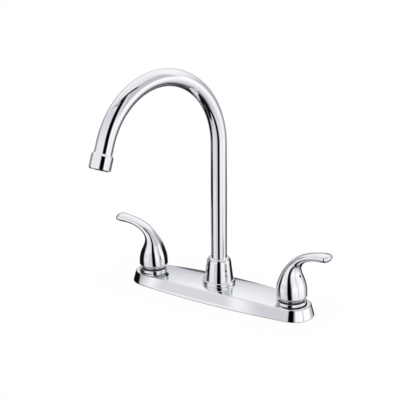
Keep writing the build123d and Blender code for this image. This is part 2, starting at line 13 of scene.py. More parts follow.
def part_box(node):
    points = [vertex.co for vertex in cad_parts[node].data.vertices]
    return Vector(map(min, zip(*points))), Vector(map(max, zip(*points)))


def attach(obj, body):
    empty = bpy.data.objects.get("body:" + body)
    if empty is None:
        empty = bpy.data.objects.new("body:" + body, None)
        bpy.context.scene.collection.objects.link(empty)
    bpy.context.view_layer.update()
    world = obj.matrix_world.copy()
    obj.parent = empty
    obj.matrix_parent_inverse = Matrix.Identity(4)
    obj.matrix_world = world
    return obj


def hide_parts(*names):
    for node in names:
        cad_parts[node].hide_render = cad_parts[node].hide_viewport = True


bl_info = {
    "name": "Two Handle Kitchen Faucet",
    "version": (1, 0, 0),
    "blender": (4, 5, 0),
    "location": "View3D > Sidebar > Faucet",
    "description": "Builds a chrome gooseneck faucet with two lever handles on its packed frame",
    "category": "Add Mesh",
}

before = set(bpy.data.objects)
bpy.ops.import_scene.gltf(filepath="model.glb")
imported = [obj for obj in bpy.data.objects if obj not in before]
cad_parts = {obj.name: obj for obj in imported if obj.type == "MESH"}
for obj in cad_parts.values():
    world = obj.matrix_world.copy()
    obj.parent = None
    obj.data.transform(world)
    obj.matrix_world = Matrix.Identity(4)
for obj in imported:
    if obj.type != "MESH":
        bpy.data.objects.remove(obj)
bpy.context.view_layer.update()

MM = 0.001

# ---- places read from the frame ----

plate_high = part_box("deck_plate")[1]
ring_low, ring_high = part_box("cold_bonnet_ring")
lever_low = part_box("cold_lever")[0]
screw_low, screw_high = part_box("cold_set_screw")
stem_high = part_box("cold_stem")[1]
foot_ring_low, foot_ring_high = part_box("spout_flange_ring")
bell_low, bell_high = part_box("bell_nut")
washer_low, washer_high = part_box("upper_glide_washer")
hub_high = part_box("spout_hub")[1]
handle_x = (ring_low.x + ring_high.x) / 2

# radii of the plate's holes for the valves and the hub, of the bore that a lever sits on its
# stem with, and how much tighter the chromed covers are than the plate's holes
VALVE_HOLE = 13.8 * MM
HUB_HOLE = 13.3 * MM
STEM_BORE = 4.05 * MM
COVER_TIGHTER = 0.25 * MM

# how far the gooseneck's tip reaches into the aerator
TIP_THREAD = 8 * MM

# name, moving body and side of each valve
SIDES = (("hot", "hot_handle", -1), ("cold", "cold_handle", 1))


# ---- settings ----

def length(name, description, millimetres):
    """Setting of a length."""
    return FloatProperty(name=name, description=description, default=millimetres * MM,
                         unit="LENGTH", precision=5)


def angle(name, description, degrees):
    """Setting of an angle."""
    return FloatProperty(name=name, description=description, default=radians(degrees),
                         subtype="ANGLE", precision=5)


def tint(name, description, hex_colour):
    """Setting of a colour, as sRGB hex."""
    return StringProperty(name=name, description=description, default=hex_colour)


class PlateSettings(PropertyGroup):
    """Sizes of the deck plate."""

    end_radius: length("End radius", "Radius of the plate's round ends at the deck", 25.75)
    rim_height: length("Rim height", "Height of the top face at the handles", 14.4)
    crown_rise: length("Crown", "How much higher the rim is at mid length", 2.4)
    dome_rise: length("Dome", "How much the middle of the top stands above the rim", 2.1)
    end_dome: length("Dome at the ends", "The dome at the handles, where the top is flatter", 0.15)
    end_draft: length("End draft", "How far the wall leans in at the round ends", 4.0)
    side_draft: length("Side draft", "How far the wall leans in at mid length", 2.9)
    rim_round: length("Rim round", "Radius between the wall and the top", 1.8)
    foot_round: length("Foot round", "Radius between the wall and the deck", 1.1)
    wall: length("Wall", "Thickness of the shell", 2.4)


class RingSettings(PropertyGroup):
    """Sizes of the bonnet rings and their black washers, which also paint the shade above and below
    the rings.
    """

    cover_round: length("Cover round", "Radius between a ring's side and its top", 1.3)
    seat_height: length("Seat washer", "Thickness of the washer below a ring", 1.1)
    # painted shade: the washer below a ring is set off to one side, so that its black shows as a
    # crescent under the ring
    seat_shade_offset: length("Seat slack", "How loose the washer below a ring is", 0.5)
    lever_gap: length("Gap", "From a ring's top to the CAD's lever", 0.3)
    # the washer above a ring is black rubber, and its black also paints the shade in the gap under
    # the lever
    gap_shade_step: length("Dust step", "How far the washer above a ring stays inside its edge", 2.4)
    gap_shade_rise: length("Dust rise", "How far the washer above a ring reaches into the lever", 0.8)


class LeverSettings(PropertyGroup):
    """Sizes of the lever handles."""

    bevel_height: length("Bevel height", "Height of the bevel at the foot of the round base", 6.1)
    foot_radius: length("Foot radius", "Radius of the base's lower edge", 16.2)
    foot_rise: length("Foot rise", "How much higher the base's lower edge is than the CAD's", 1.1)
    cavity_radius: length("Cavity radius", "Radius of the hollow that covers the valve", 14.6)
    cavity_height: length("Cavity height", "Height of the hollow above the bevel", 6.5)
    tip_dome: length("Tip dome", "How far the lever's end is domed", 0.7)
    key_hole: length("Key hole", "Radius of the hole that leads to the set screw", 1.5)
    toe_in: angle("Toe-in", "How far each lever points forward of sideways", 9.0)


class SpoutSettings(PropertyGroup):
    """Sizes of the gooseneck and its aerator."""

    tube_radius: length("Tube radius", "Outside radius of the gooseneck", 9.9)
    tube_wall: length("Tube wall", "Thickness of the gooseneck's wall", 0.9)
    straight_top: length("Straight height", "Height at which the gooseneck starts to bend", 199.0)
    bend_radius: length("Bend radius", "Radius of the bend, to the middle of the tube", 88.4)
    bend_sweep: angle("Bend sweep", "How far round the gooseneck is bent", 160.7)
    tip_run: length("Tip run", "Straight stretch from the bend to the aerator", 11.2)
    aim: angle("Aim", "Direction of the spout from +X", -102.1)
    aerator_length: length("Aerator length", "Length of the aerator's housing", 17.8)
    aerator_radius: length("Aerator radius", "Outside radius of the aerator's housing", 12.0)
    aerator_flare: length("Aerator flare", "From the aerator's top to its full width", 2.4)
    aerator_slope: length("Aerator slope", "Height and width of the slope round the outlet", 1.4)
    aerator_lip: length("Aerator lip", "How far the outlet's lip reaches in past the bore", 0.7)
    lip_thickness: length("Lip thickness", "Thickness of the outlet's lip", 0.6)


class BellSettings(PropertyGroup):
    """Sizes of the bell at the foot of the gooseneck."""

    shoulder_radius: length("Shoulder radius", "Radius where the slope turns into the dome", 15.2)
    shoulder_height: length("Shoulder height", "From the foot ring to the shoulder", 23.6)
    crest_gap: length("Crest gap", "From the gooseneck to where the dome is highest", 2.1)
    crest_height: length("Crest height", "From the foot ring to where the dome is highest", 28.9)
    cavity_radius: length("Cavity radius", "Radius of the hollow above the hub", 13.0)


class FinishSettings(PropertyGroup):
    """Colours of the finishes."""

    chrome: tint("Chrome", "Bright nickel-chrome plating", "#F5F6F8")
    brass: tint("Brass", "Turned free-cutting brass", "#C9A662")
    copper: tint("Copper", "Drawn copper tube", "#C57B57")
    rubber: tint("Rubber", "Moulded EPDM rubber", "#232426")
    ceramic: tint("Ceramic", "Lapped alumina", "#EDEAE2")
    acetal: tint("Acetal", "Moulded natural acetal", "#EFEFEA")
    stainless: tint("Stainless steel", "Tumbled stainless steel", "#C8C9CA")


class StudioSettings(PropertyGroup):
    """Camera and floor."""

    lens: FloatProperty(
        name="Lens", description="Focal length on a 36 mm wide sensor",
        default=72.0, subtype="DISTANCE_CAMERA", precision=2)
    camera_distance: length("Camera distance", "From the camera to the point it looks at", 998.18)
    camera_turn: angle("Camera turn", "How far the camera stands to the right of the front", 32.871)
    camera_rise: angle("Camera rise", "How far above the horizon the camera stands", 17.019)
    camera_roll: angle("Camera roll", "Tilt of the picture", -0.575)
    camera_target: FloatVectorProperty(
        name="Camera target", description="Point in the middle of the picture",
        default=(-0.027504, 0.0, 0.123198), subtype="TRANSLATION", precision=5)
    floor_colour: tint("Floor", "Matt white table", "#FEFEFE")


# ---- small building blocks ----

def linear(hex_colour):
    """sRGB hex colour as linear RGBA."""
    channels = [int(hex_colour[place:place + 2], 16) / 255 for place in (1, 3, 5)]
    return [c / 12.92 if c <= 0.04045 else ((c + 0.055) / 1.055) ** 2.4 for c in channels] + [1.0]


def add_node(tree, kind, inputs=None, **settings):
    """Add a shader node with its settings, and set its inputs or link them to sockets or nodes."""
    node = tree.nodes.new("ShaderNode" + kind)
    for name, value in settings.items():
        setattr(node, name, value)
    for name, value in (inputs or {}).items():
        if isinstance(value, bpy.types.Node):
            value = value.outputs[0]
        if isinstance(value, bpy.types.NodeSocket):
            tree.links.new(value, node.inputs[name])
        else:
            node.inputs[name].default_value = value
    return node


def new_material(name):
    """Material with an empty node tree, and that tree."""
    material = bpy.data.materials.new(name)
    material.use_nodes = True
    material.node_tree.nodes.clear()
    return material, material.node_tree


def set_stops(ramp, stops):
    """Give a colour ramp its stops."""
    while len(ramp.elements) < len(stops):
        ramp.elements.new(0.5)
    for element, (place, shade) in zip(ramp.elements, sorted(stops)):
        element.position = place
        element.color = linear(shade)


def rounded(corners, steps=5):
    """Closed outline from (x, y, radius) corners, each turned into an arc of its radius."""
    points = []
    for index, (x, y, radius) in enumerate(corners):
        corner = Vector((x, y))
        before = Vector(corners[index - 1][:2]) - corner
        after = Vector(corners[(index + 1) % len(corners)][:2]) - corner
        if radius == 0:
            points.append(corner)
            continue
        before.normalize()
        after.normalize()
        half_angle = before.angle(after) / 2
        centre = corner + (before + after).normalized() * radius / sin(half_angle)
        start = corner + before * radius / tan(half_angle) - centre
        end = corner + after * radius / tan(half_angle) - centre
        sweep = start.angle_signed(end)
        for step in range(steps + 1):
            turn = -sweep * step / steps
            points.append(centre + Matrix.Rotation(turn, 2) @ start)
    return [(point.x, point.y) for point in points]


def tangent_arc(start, end, direction, steps):
    """Points after start along the arc that leaves it in a direction and reaches end."""
    start = Vector(start)
    chord = Vector(end) - start
    side = Vector((-direction[1], direction[0])).normalized()
    radius = chord.length_squared / (2 * chord.dot(side))
    centre = start + side * radius
    sweep = (start - centre).angle_signed(Vector(end) - centre)
    arc = []
    for step in range(1, steps + 1):
        point = centre + Matrix.Rotation(-sweep * step / steps, 2) @ (start - centre)
        arc.append((point.x, point.y))
    return arc


def grid_faces(rows, columns, closed):
    """Quads between closed rings of points. Closed joins the last ring to the first."""
    faces = []
    for row in range(rows if closed else rows - 1):
        for column in range(columns):
            here = row * columns
            above = (row + 1) % rows * columns
            following = (column + 1) % columns
            faces.append((here + column, here + following, above + following, above + column))
    return faces


def new_piece(name, points, faces, material):
    """Smooth object from points and faces, sharp along its edges."""
    same_place = 1e-6
    mesh = bpy.data.meshes.new(name)
    mesh.from_pydata([tuple(point) for point in points], [], faces)
    shape = bmesh.new()
    shape.from_mesh(mesh)
    bmesh.ops.remove_doubles(shape, verts=shape.verts, dist=same_place)
    bmesh.ops.dissolve_degenerate(shape, edges=shape.edges, dist=same_place)
    bmesh.ops.recalc_face_normals(shape, faces=shape.faces)
    shape.to_mesh(mesh)
    shape.free()
    finish_shading(mesh)
    mesh.materials.append(material)
    piece = bpy.data.objects.new(name, mesh)
    bpy.context.scene.collection.objects.link(piece)
    return piece


def finish_shading(mesh):
    """Smooth shading, sharp where faces meet at more than 32 degrees."""
    mesh.shade_smooth()
    mesh.set_sharp_from_angle(angle=radians(32))


def circle(radius, height, segments):
    """Points round a level circle about Z."""
    turns = [2 * pi * segment / segments for segment in range(segments)]
    return [(radius * cos(turn), radius * sin(turn), height) for turn in turns]


def turned(outline, segments=192):
    """Points and faces of a closed (radius, height) outline turned about Z."""
    points = []
    for radius, height in outline:
        points += circle(radius, height, segments)
    return points, grid_faces(len(outline), segments, closed=True)


def rod(radius, low, high, x=0.0, segments=128):
    """Upright cylinder that cuts a hole or joins a pad."""
    points = []
    for reach, height in ((0.0, low), (radius, low), (radius, high), (0.0, high)):
        points += [(x + point[0], point[1], point[2]) for point in circle(reach, height, segments)]
    return new_piece("cutter", points, grid_faces(4, segments, closed=False), None)


def flat_panel(name, half_width, half_height, material):
    """Flat rectangle about its own middle."""
    corners = [(-half_width, -half_height, 0), (half_width, -half_height, 0),
               (half_width, half_height, 0), (-half_width, half_height, 0)]
    return new_piece(name, corners, [(0, 1, 2, 3)], material)


def merge_slivers(mesh):
    """Merge points that a cut leaves almost in one place, with the empty faces between them."""
    sliver = 0.01 * MM
    shape = bmesh.new()
    shape.from_mesh(mesh)
    bmesh.ops.remove_doubles(shape, verts=shape.verts, dist=sliver)
    bmesh.ops.dissolve_degenerate(shape, edges=shape.edges, dist=sliver)
    bmesh.ops.triangulate(shape, faces=[face for face in shape.faces if len(face.verts) > 4])
    bmesh.ops.dissolve_degenerate(shape, edges=shape.edges, dist=sliver)
    shape.to_mesh(mesh)
    shape.free()


def cut(piece, cutters, operation="DIFFERENCE"):
    """Cut pieces out of a piece, or join them to it, and keep one clean mesh."""
    for cutter in cutters:
        modifier = piece.modifiers.new("cut", "BOOLEAN")
        modifier.operation = operation
        modifier.solver = "EXACT"
        modifier.object = cutter
    graph = bpy.context.evaluated_depsgraph_get()
    mesh = bpy.data.meshes.new_from_object(piece.evaluated_get(graph))
    piece.modifiers.clear()
    old_mesh = piece.data
    piece.data = mesh
    bpy.data.meshes.remove(old_mesh)
    for cutter in cutters:
        cutter_mesh = cutter.data
        bpy.data.objects.remove(cutter)
        bpy.data.meshes.remove(cutter_mesh)
    merge_slivers(mesh)
    finish_shading(mesh)


def moved(points, matrix):
    """Points carried by a matrix."""
    return [matrix @ Vector(point) for point in points]


def fit(piece, body, node):
    """Say what body a piece rides on and which node it stands for."""
    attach(piece, body)
    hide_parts(node)


# ---- finishes ----

def patches(tree, place, size, low, high, detail=2.0):
    """Colour that wanders between two shades in patches of about a size in metres."""
    noise = add_node(tree, "TexNoise", {"Vector": place, "Scale": 1 / size, "Detail": detail})
    ramp = add_node(tree, "ValToRGB", {"Fac": noise.outputs["Fac"]})
    set_stops(ramp.color_ramp, [(0.35, low), (0.65, high)])
    return ramp


def roughness_between(tree, place, size, low, high):
    """Roughness that wanders between two values in patches of about a size in metres."""
    noise = add_node(tree, "TexNoise", {"Vector": place, "Scale": 1 / size, "Detail": 2.0})
    return add_node(tree, "MapRange", {
        "Value": noise.outputs["Fac"], "From Min": 0.3, "From Max": 0.7,
        "To Min": low, "To Max": high})


# Each finish gives what its shader's inputs are. It draws on the material's node tree, the
# place on the object in metres and the colours that are set.

def polished_chrome_plating(tree, place, colours):
    """Nickel-chrome plating on polished brass. A mirror, a little cool, with faint wiping haze."""
    # wiping haze: patches of about 12 mm
    haze = add_node(tree, "TexNoise", {
        "Vector": place, "Scale": 1 / (12 * MM), "Detail": 3.0, "Roughness": 0.55})
    gloss = add_node(tree, "MapRange", {
        "Value": haze.outputs["Fac"], "From Min": 0.35, "From Max": 0.7,
        "To Min": 0.004, "To Max": 0.018})
    # the polishing wheel leaves waves of about 15 mm, a few hundredths of a millimetre high
    waves = add_node(tree, "TexNoise", {"Vector": place, "Scale": 1 / (15 * MM), "Detail": 1.0})
    relief = add_node(tree, "Bump", {
        "Height": waves.outputs["Fac"], "Strength": 0.05, "Distance": 0.02 * MM})
    return {"Base Color": linear(colours.chrome), "Metallic": 1.0, "Roughness": gloss,
            "Normal": relief}


def undercut_painted_shade_chrome(tree, place, colours):
    """Nickel-chrome in an undercut that the wheel misses. The same metal with a softer gloss, and
    greyer as painted shade.
    """
    # painted shade: a base colour greyer than the chrome, wandering in patches of about 4 mm
    return {"Base Color": patches(tree, place, 4 * MM, "#B8B9BC", "#CACBCE"), "Metallic": 1.0,
            "Roughness": roughness_between(tree, place, 2 * MM, 0.14, 0.22)}


def turned_brass(tree, place, colours):
    """Free-cutting brass off the lathe. Warm metal with fine feed rings and a little tarnish."""
    # the tool feeds 0.1 mm a turn, drawn five times as coarse so that it shows; at a scale of 1
    # the wave texture repeats every pi / 10 metres
    feed = add_node(tree, "TexWave", {
        "Vector": place, "Scale": pi / 10 / (0.5 * MM), "Distortion": 0.4}, bands_direction="Z")
    relief = add_node(tree, "Bump", {
        "Height": feed.outputs["Fac"], "Strength": 0.25, "Distance": 0.02 * MM})
    return {"Base Color": patches(tree, place, 9 * MM, "#B08C4C", colours.brass), "Metallic": 1.0,
            "Roughness": roughness_between(tree, place, 6 * MM, 0.2, 0.34), "Normal": relief}


def drawn_copper_tube(tree, place, colours):
    """Copper tube drawn through a die. Long faint lines along it, and brown where handled."""
    # die lines about 0.4 mm apart that run the length of the tube
    along = add_node(tree, "Mapping", {"Vector": place, "Scale": (0.02, 1.0, 1.0)})
    lines = add_node(tree, "TexNoise", {"Vector": along, "Scale": 1 / (0.4 * MM), "Detail": 1.0})
    relief = add_node(tree, "Bump", {
        "Height": lines.outputs["Fac"], "Strength": 0.3, "Distance": 0.03 * MM})
    return {"Base Color": patches(tree, place, 14 * MM, "#9C5A3C", colours.copper), "Metallic": 1.0,
            "Roughness": roughness_between(tree, place, 10 * MM, 0.24, 0.4), "Normal": relief}


def moulded_epdm_rubber(tree, place, colours):
    """Moulded EPDM rubber. Dull black with the mould's fine grain and a dusty bloom."""
    # spark-eroded mould grain of 0.3 mm
    grain = add_node(tree, "TexNoise", {"Vector": place, "Scale": 1 / (0.3 * MM), "Detail": 3.0})
    relief = add_node(tree, "Bump", {
        "Height": grain.outputs["Fac"], "Strength": 0.35, "Distance": 0.04 * MM})
    return {"Base Color": patches(tree, place, 7 * MM, "#161718", colours.rubber),
            "Roughness": roughness_between(tree, place, 4 * MM, 0.55, 0.75), "Normal": relief}


def lapped_alumina(tree, place, colours):
    """Alumina ceramic lapped flat. Ivory white and glossy, with faint grey specks."""
    # the specks are grains of about 0.4 mm
    return {"Base Color": patches(tree, place, 0.4 * MM, "#DCD8CD", colours.ceramic, detail=4.0),
            "Roughness": roughness_between(tree, place, 2 * MM, 0.08, 0.2)}


def moulded_acetal(tree, place, colours):
    """Acetal moulded in a polished tool. Milky white with a soft waxy sheen."""
    # flow marks of about 3 mm from the gate
    flow = add_node(tree, "TexNoise", {"Vector": place, "Scale": 1 / (3 * MM), "Detail": 2.0})
    relief = add_node(tree, "Bump", {
        "Height": flow.outputs["Fac"], "Strength": 0.15, "Distance": 0.03 * MM})
    return {"Base Color": patches(tree, place, 5 * MM, "#E4E4DC", colours.acetal),
            "Roughness": roughness_between(tree, place, 3 * MM, 0.3, 0.45),
            "Subsurface Weight": 0.15, "Subsurface Scale": 1 * MM, "Normal": relief}


def tumbled_stainless_steel(tree, place, colours):
    """Stainless steel, stamped or drawn and then tumbled. Grey metal with streaks one way."""
    # rolling streaks about 0.2 mm wide
    rolled = add_node(tree, "Mapping", {"Vector": place, "Scale": (0.05, 1.0, 1.0)})
    streaks = add_node(tree, "TexNoise", {"Vector": rolled, "Scale": 1 / (0.2 * MM), "Detail": 1.0})
    relief = add_node(tree, "Bump", {
        "Height": streaks.outputs["Fac"], "Strength": 0.2, "Distance": 0.02 * MM})
    return {"Base Color": patches(tree, place, 6 * MM, "#B2B3B5", colours.stainless),
            "Metallic": 1.0, "Roughness": roughness_between(tree, place, 4 * MM, 0.22, 0.36),
            "Normal": relief}


def material_of(finish):
    """The material of a finish, made when it is first asked for."""
    name = finish.__name__
    if name in bpy.data.materials:
        return bpy.data.materials[name]
    material, tree = new_material(name)
    place = add_node(tree, "TexCoord").outputs["Object"]
    inputs = finish(tree, place, bpy.context.scene.faucet_finish)
    surface = add_node(tree, "BsdfPrincipled", inputs)
    add_node(tree, "OutputMaterial", {"Surface": surface})
    return material


# the finish of each part inside the faucet that isn't turned brass, by how its name ends
INSIDE_FINISHES = (
    ("crossover_tube", drawn_copper_tube),
    ("_disc", lapped_alumina),
    ("glide_washer", moulded_acetal),
    ("aerator_insert", moulded_acetal),
    ("retaining_ring", tumbled_stainless_steel),
    ("shank_washer", tumbled_stainless_steel),
    ("set_screw", tumbled_stainless_steel),
    ("screen", tumbled_stainless_steel),
    ("gasket", moulded_epdm_rubber),
    ("seal", moulded_epdm_rubber),
    ("o_ring", moulded_epdm_rubber),
    ("o_rings", moulded_epdm_rubber),
    ("aerator_washer", moulded_epdm_rubber),
)


class FAUCET_OT_inside(Operator):
    """Give the valves, the hub, the seals and the parts under the sink their finishes"""

    bl_idname = "faucet.inside"
    bl_label = "Inside Parts"

    def execute(self, context):
        for name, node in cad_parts.items():
            finish = turned_brass
            for ending, inside_finish in INSIDE_FINISHES:
                if name.endswith(ending):
                    finish = inside_finish
            if not node.hide_render:
                node.data.materials.clear()
                node.data.materials.append(material_of(finish))
        return {"FINISHED"}


# ---- deck plate ----

def bowed_outline(half_length, end_radius, half_width, end_points, side_points):
    """Points round two end arcs and two bowed sides, all tangent."""
    end_x = half_length - end_radius
    side_radius = (end_x ** 2 + half_width ** 2 - end_radius ** 2) / (2 * (half_width - end_radius))
    side_drop = side_radius - half_width
    half_bow = atan2(end_x, side_drop)
    half_end = pi / 2 - half_bow
    outline = []
    for side in (1, -1):
        for point in range(end_points):
            turn = half_end * (2 * point / end_points - 1)
            outline.append((side * (end_x + end_radius * cos(turn)), side * end_radius * sin(turn)))
        for point in range(side_points):
            turn = half_bow * (1 - 2 * point / side_points)
            across = side_radius * cos(turn) - side_drop
            outline.append((side * side_radius * sin(turn), side * across))
    return np.array(outline)


class PlateShape:
    """The deck plate's surfaces, worked out from its settings and the frame's box."""

    def __init__(self, settings):
        self.settings = settings
        self.half_length = plate_high.x
        self.half_width = plate_high.y
        self.end_x = self.half_length - settings.end_radius
        self.rim_y = self.half_width - settings.side_draft

    def outline(self, inset, height):
        """Outline inset all round and drawn in by the draft at a height."""
        rise = height / self.settings.rim_height
        end_inset = inset + self.settings.end_draft * rise
        side_inset = inset + self.settings.side_draft * rise
        return bowed_outline(
            self.half_length - end_inset, self.settings.end_radius - end_inset,
            self.half_width - side_inset, end_points=72, side_points=144)

    def outline_point(self, inset, height):
        """As outline, with a height for every point round it."""
        low = self.outline(inset, 0.0)
        high = self.outline(inset, self.settings.rim_height)
        return low + (high - low) * (height / self.settings.rim_height)[:, None]

    def top(self, points):
        """Height of the crowned top over each point."""
        settings = self.settings
        fade = 1 - np.minimum(np.abs(points[:, 0]) / self.end_x, 1.0) ** 2
        rim = settings.rim_height + settings.crown_rise * fade
        dome = settings.end_dome + (settings.dome_rise - settings.end_dome) * fade
        return rim + dome * (1 - (points[:, 1] / self.rim_y) ** 2)

    def corner(self, inset, drop):
        """Where an inset wall meets a lowered top. Each pass comes nearer to it."""
        height = np.full(len(self.outline(inset, 0.0)), self.settings.rim_height - drop)
        for _ in range(6):
            points = self.outline_point(inset, height)
            height = self.top(points) - drop
        return np.column_stack([points, height])


def rows_to_spine(start, end_x, height_at, rows):
    """Rows of points from a ring in to the plate's long middle line."""
    spine = np.column_stack([start[:, 0] * end_x / np.abs(start[:, 0]).max(), np.zeros(len(start))])
    result = []
    for row in range(1, rows + 1):
        points = start[:, :2] + (spine - start[:, :2]) * row / rows
        result.append(np.column_stack([points, height_at(points)]))
    return result


def plate_rows(shape):
    """Rings of points over the shell, from the ceiling's middle out, down and up to the top's."""
    settings = shape.settings
    outer_corner = shape.corner(0.0, 0.0)
    inner_corner = shape.corner(settings.wall, settings.wall)
    deck = np.zeros(len(outer_corner))
    inner_foot = np.column_stack([shape.outline(settings.wall, 0.0), deck])
    outer_foot = np.column_stack([shape.outline(0.0, 0.0), deck])
    ceiling = rows_to_spine(
        inner_corner, shape.end_x, lambda points: shape.top(points) - settings.wall, rows=12)
    rows = ceiling[::-1] + [inner_corner, inner_foot]
    rows += round_off(inner_foot, outer_foot, outer_corner, settings.foot_round, steps=4)
    # a ring a little way in over the top gives the rim's arc its direction
    inward = 6 * MM
    inner_ring = outer_corner.copy()
    inner_ring[:, :2] += (shape.outline(inward, settings.rim_height)
                          - shape.outline(0, settings.rim_height))
    inner_ring[:, 2] = shape.top(inner_ring[:, :2])
    rim = round_off(outer_foot, outer_corner, inner_ring, settings.rim_round, steps=10)
    wall_start = rows[-1]
    wall_steps = 5
    for step in range(1, wall_steps):
        rows.append(wall_start + (rim[0] - wall_start) * step / wall_steps)
    rows += rim
    rows += rows_to_spine(rim[-1], shape.end_x, shape.top, rows=26)
    return rows


def round_off(before, corner, after, radius, steps):
    """Rows of points round the arc that fits between two faces at a corner."""
    back = before - corner
    back /= np.linalg.norm(back, axis=1)[:, None]
    onward = after - corner
    onward /= np.linalg.norm(onward, axis=1)[:, None]
    half = np.arccos(np.clip((back * onward).sum(axis=1), -1, 1)) / 2
    middle = back + onward
    middle /= np.linalg.norm(middle, axis=1)[:, None]
    centre = corner + middle * (radius / np.sin(half))[:, None]
    start = corner + back * (radius / np.tan(half))[:, None] - centre
    end = corner + onward * (radius / np.tan(half))[:, None] - centre
    sweep = np.arccos(np.clip((start * end).sum(axis=1) / radius ** 2, -1, 1))
    rows = []
    for step in range(steps + 1):
        share = step / steps
        near = np.sin((1 - share) * sweep) / np.sin(sweep)
        far = np.sin(share * sweep) / np.sin(sweep)
        rows.append(centre + start * near[:, None] + end * far[:, None])
    return rows


class FAUCET_OT_deck_plate(Operator):
    """Add the chromed cover plate"""

    bl_idname = "faucet.deck_plate"
    bl_label = "Deck Plate"

    def execute(self, context):
        rows = plate_rows(PlateShape(context.scene.faucet_plate))
        faces = grid_faces(len(rows), len(rows[0]), closed=False)
        chrome = material_of(polished_chrome_plating)
        plate = new_piece("deck_plate_cover", np.vstack(rows), faces, chrome)
        # a flat pad under the foot ring levels the crown
        pad_radius = foot_ring_high.x + 0.5 * MM
        pad = rod(pad_radius, plate_high.z - 4 * MM, plate_high.z, segments=192)
        cut(plate, [pad], "UNION")
        above = plate_high.z + 1 * MM
        holes = [rod(HUB_HOLE, 0.0, above)]
        holes += [rod(VALVE_HOLE, 0.0, above, side * handle_x) for side in (-1, 1)]
        cut(plate, holes)
        fit(plate, "base", "deck_plate")
        return {"FINISHED"}


# ---- bonnet rings ----

class FAUCET_OT_bonnet_rings(Operator):
    """Add the round nuts that clamp the plate under each lever, each between two black rubber
    washers that also paint the shade of the gaps
    """

    bl_idname = "faucet.bonnet_rings"
    bl_label = "Bonnet Rings"

    def execute(self, context):
        settings = context.scene.faucet_ring
        outer = (ring_high.x - ring_low.x) / 2
        bore = VALVE_HOLE - COVER_TIGHTER
        seat = ring_low.z + settings.seat_height
        shade_offset = settings.seat_shade_offset
        top = lever_low.z - settings.lever_gap
        gap_shade_edge = outer - settings.gap_shade_step
        gap_shade_top = lever_low.z + settings.gap_shade_rise
        ring_outline = rounded([
            (bore, seat, 0),
            (outer, seat, 0.2 * MM),
            (outer, top, settings.cover_round),
            (bore, top, 0.3 * MM),
        ], steps=8)
        # black rubber washer under the ring; its black band also stands in for the shade under the
        # ring
        seat_shade_outline = rounded([
            (bore + shade_offset, ring_low.z, 0),
            (outer + shade_offset, ring_low.z, 0.2 * MM),
            (outer + shade_offset, seat, 0.3 * MM),
            (bore + shade_offset, seat, 0),
        ])
        # black rubber washer in the gap between ring and lever; its black stands in for the gap's
        # shade as painted shade
        gap_shade_outline = rounded([
            (bore, top, 0),
            (gap_shade_edge, top, 0.2 * MM),
            (gap_shade_edge, gap_shade_top, 0.4 * MM),
            (bore, gap_shade_top, 0),
        ])
        for name, _, side in SIDES:
            # painted shade: the black seat washer is set off towards +X, so that its dark band
            # under the ring grows thicker on that side
            for kind, outline, aside, finish, slot in (
                    ("_bonnet_cover", ring_outline, 0.0, polished_chrome_plating, "chrome"),
                    ("_seat_shade_washer", seat_shade_outline, shade_offset, moulded_epdm_rubber, "rubber"),
                    ("_gap_shade_washer", gap_shade_outline, 0.0, moulded_epdm_rubber, "rubber")):
                points, faces = turned(outline)
                across = Matrix.Translation((side * handle_x + aside, 0, 0))
                piece = new_piece(name + kind, moved(points, across), faces, material_of(finish))
                fit(piece, "base", name + "_bonnet_ring")
        return {"FINISHED"}


# ---- lever handles ----

LEVER_COLUMNS = 160

# each station is reach from the valve's axis, height above the bevel, lean from upright
# in degrees, half thickness and half width, with the lengths in millimetres
LEVER_STATIONS = np.array([
    (0.0, 0.0, 0.0, 19.0, 19.0),
    (0.0, 7.0, 0.0, 18.5, 19.2),
    (0.0, 14.5, 0.0, 17.0, 18.3),
    (0.0, 21.2, 2.0, 14.5, 16.5),
    (0.6, 28.0, 10.0, 11.6, 13.8),
    (2.5, 34.5, 22.0, 8.7, 11.1),
    (5.7, 40.6, 35.0, 6.8, 9.3),
    (10.2, 45.7, 48.0, 5.6, 9.1),
    (15.8, 49.7, 59.0, 5.0, 8.9),
    (22.0, 52.7, 68.0, 4.7, 8.6),
    (35.0, 56.4, 80.0, 5.0, 8.3),
    (43.5, 57.7, 83.0, 5.3, 9.2),
    (48.0, 58.2, 84.0, 4.9, 9.4),
    (50.4, 58.4, 84.0, 3.7, 8.0),
    (51.6, 58.5, 84.0, 2.0, 5.4),
])


def spline_through(knots, values, places):
    """Natural cubic spline through rows of values at increasing knots."""
    count = len(knots)
    gaps = np.diff(knots)
    matrix = np.eye(count)
    right = np.zeros_like(values)
    for index in range(1, count - 1):
        gap_before, gap_after = gaps[index - 1:index + 1]
        matrix[index, index - 1:index + 2] = (gap_before, 2 * (gap_before + gap_after), gap_after)
        slope_after = (values[index + 1] - values[index]) / gap_after
        slope_before = (values[index] - values[index - 1]) / gap_before
        right[index] = 6 * (slope_after - slope_before)
    bend = np.linalg.solve(matrix, right)
    result = []
    for place in places:
        index = min(int(np.searchsorted(knots, place, side="right")) - 1, count - 2)
        gap = gaps[index]
        after = (place - knots[index]) / gap
        before = 1 - after
        curve = (before ** 3 - before) * bend[index] + (after ** 3 - after) * bend[index + 1]
        result.append(before * values[index] + after * values[index + 1] + curve * gap ** 2 / 6)
    return np.array(result)


def lever_sections(rows):
    """Sections between the stations, closer together where the lever narrows."""
    steps = np.linalg.norm(np.diff(LEVER_STATIONS[:, :2], axis=0), axis=1)
    narrowing = np.abs(np.diff(LEVER_STATIONS[:, 3])) + np.abs(np.diff(LEVER_STATIONS[:, 4]))
    knots = np.concatenate([[0.0], np.cumsum(steps + 0.5 * narrowing)])
    return spline_through(knots, LEVER_STATIONS, np.linspace(0, knots[-1], rows))


def ellipse_ring(centre, lean, half_thickness, half_width):
    """Ring of points round an ellipse that leans outwards and is level in Y."""
    turns = 2 * pi * np.arange(LEVER_COLUMNS) / LEVER_COLUMNS
    across = np.array((cos(lean), 0.0, -sin(lean)))
    ring = centre + half_thickness * np.cos(turns)[:, None] * across
    ring[:, 1] += half_width * np.sin(turns)
    return ring


